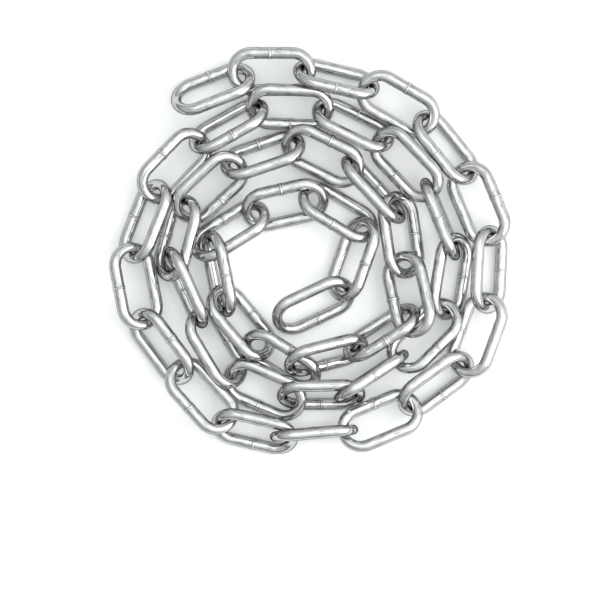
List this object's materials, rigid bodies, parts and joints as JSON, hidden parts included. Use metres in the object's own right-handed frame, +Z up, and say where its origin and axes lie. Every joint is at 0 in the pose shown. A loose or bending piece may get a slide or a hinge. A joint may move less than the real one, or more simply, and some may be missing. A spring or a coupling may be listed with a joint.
{
  "type": "heap of steel chain",
  "caption": "Length of zinc-plated welded steel link chain laid flat in a loose spiral of overlapping turns, with one free end outside and one inside.",
  "frame": {"origin": "on the floor under the middle of the heap", "axes": "+Z up; seen from above with +Y away from the viewer, the chain runs clockwise from its outer free end, at upper left, to its inner free end"},
  "size_m": [0.151, 0.1538, 0.0215],
  "materials": {
    "zinc_plated_steel": "bright zinc plate, lightly brushed, with a weld bead on one bar of each link"
  },
  "bodies": {
    "root": {"link_01": "zinc_plated_steel", "link_02": "zinc_plated_steel", "link_03": "zinc_plated_steel", "link_04": "zinc_plated_steel", "link_05": "zinc_plated_steel", "link_06": "zinc_plated_steel", "link_07": "zinc_plated_steel", "link_08": "zinc_plated_steel", "link_09": "zinc_plated_steel", "link_10": "zinc_plated_steel", "link_11": "zinc_plated_steel", "link_12": "zinc_plated_steel", "link_13": "zinc_plated_steel", "link_14": "zinc_plated_steel", "link_15": "zinc_plated_steel", "link_16": "zinc_plated_steel", "link_17": "zinc_plated_steel", "link_18": "zinc_plated_steel", "link_19": "zinc_plated_steel", "link_20": "zinc_plated_steel", "link_21": "zinc_plated_steel", "link_22": "zinc_plated_steel", "link_23": "zinc_plated_steel", "link_24": "zinc_plated_steel", "link_25": "zinc_plated_steel", "link_26": "zinc_plated_steel", "link_27": "zinc_plated_steel", "link_28": "zinc_plated_steel", "link_29": "zinc_plated_steel", "link_30": "zinc_plated_steel", "link_31": "zinc_plated_steel", "link_32": "zinc_plated_steel", "link_33": "zinc_plated_steel", "link_34": "zinc_plated_steel", "link_35": "zinc_plated_steel", "link_36": "zinc_plated_steel", "link_37": "zinc_plated_steel", "link_38": "zinc_plated_steel", "link_39": "zinc_plated_steel", "link_40": "zinc_plated_steel", "link_41": "zinc_plated_steel", "link_42": "zinc_plated_steel", "link_43": "zinc_plated_steel", "link_44": "zinc_plated_steel", "link_45": "zinc_plated_steel", "link_46": "zinc_plated_steel"}
  },
  "joints": []
}
